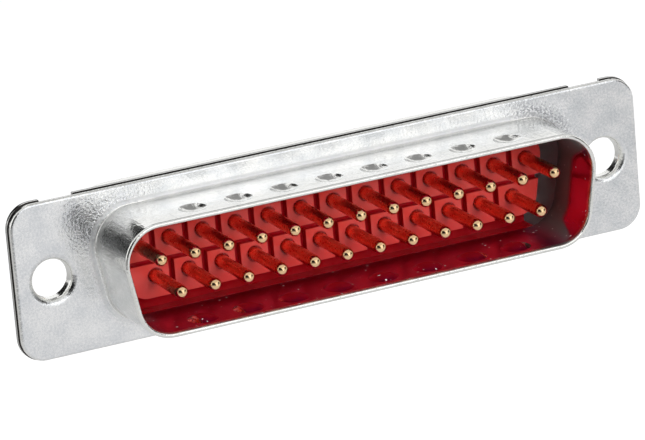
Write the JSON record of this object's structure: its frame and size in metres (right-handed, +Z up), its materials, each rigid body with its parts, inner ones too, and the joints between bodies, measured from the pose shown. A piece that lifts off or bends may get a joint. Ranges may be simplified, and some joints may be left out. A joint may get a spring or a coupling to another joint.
{
  "type": "d-shaped plug connector",
  "caption": "Panel-mount D-shaped plug connector: two tin-plated drawn shells swaged together around red insulators that hold two staggered rows of gold pins with solder cups.",
  "frame": {"origin": "centre of the flange's front face, midway between the two mounting holes", "axes": "+X along the rows of contacts, -Y out of the mating side, +Z up with the wide side of the D up"},
  "size_m": [0.0532, 0.0169, 0.0126],
  "materials": {
    "tinned_shell": "satin tin plate on drawn steel sheet, with rounded blanked edges",
    "red_insulator": "glossy, slightly translucent red moulding",
    "gold_contact": "bright gold plate on turned brass"
  },
  "bodies": {
    "root": {"front_shell": "tinned_shell", "rear_shell": "tinned_shell", "front_insulator": "red_insulator", "rear_insulator": "red_insulator", "contact_01": "gold_contact", "contact_02": "gold_contact", "contact_03": "gold_contact", "contact_04": "gold_contact", "contact_05": "gold_contact", "contact_06": "gold_contact", "contact_07": "gold_contact", "contact_08": "gold_contact", "contact_09": "gold_contact", "contact_10": "gold_contact", "contact_11": "gold_contact", "contact_12": "gold_contact", "contact_13": "gold_contact", "contact_14": "gold_contact", "contact_15": "gold_contact", "contact_16": "gold_contact", "contact_17": "gold_contact", "contact_18": "gold_contact", "contact_19": "gold_contact", "contact_20": "gold_contact", "contact_21": "gold_contact", "contact_22": "gold_contact", "contact_23": "gold_contact", "contact_24": "gold_contact", "contact_25": "gold_contact"}
  },
  "joints": []
}
